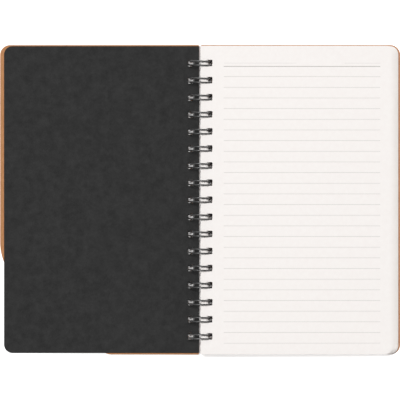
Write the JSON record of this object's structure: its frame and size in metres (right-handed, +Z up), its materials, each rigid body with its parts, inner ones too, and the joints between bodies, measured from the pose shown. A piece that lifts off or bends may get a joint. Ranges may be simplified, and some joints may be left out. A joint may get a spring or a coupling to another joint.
{
  "type": "twin-loop wire-bound notebook",
  "caption": "Open ruled notebook on a black twin-loop wire binding, with a die-cut kraft front cover, a black card flyleaf, a page block and a kraft back cover.",
  "frame": {"origin": "on the table, below the middle of the binding, halfway up the page height", "axes": "+X to the right across the open book, towards the page block's fore edge; +Y up the page; +Z up from the table"},
  "size_m": [0.2983, 0.2306, 0.0179],
  "materials": {
    "kraft_board": "matte, fibrous",
    "black_card": "matte",
    "ruled_paper": "matte",
    "black_wire": "satin nylon coat"
  },
  "bodies": {
    "back": {"back_cover": "kraft_board", "wire_binding": "black_wire"},
    "front_cover": {"front_cover": "kraft_board"},
    "flyleaf": {"flyleaf": "black_card"},
    "pages": {"page_block": "ruled_paper"}
  },
  "joints": [
    {"name": "front_cover_hinge", "type": "hinge", "parent": "back", "child": "front_cover", "pos_m": [0, 0, 0.00895], "axis": [0, 1, 0], "range_deg": [0, 182.52]},
    {"name": "flyleaf_hinge", "type": "hinge", "parent": "front_cover", "child": "flyleaf", "pos_m": [0, 0, 0.00895], "axis": [0, 1, 0], "range_deg": [0, 177.48]},
    {"name": "pages_hinge", "type": "hinge", "parent": "back", "child": "pages", "pos_m": [0, 0, 0.00895], "axis": [0, -1, 0], "range_deg": [0, 182.52]}
  ]
}
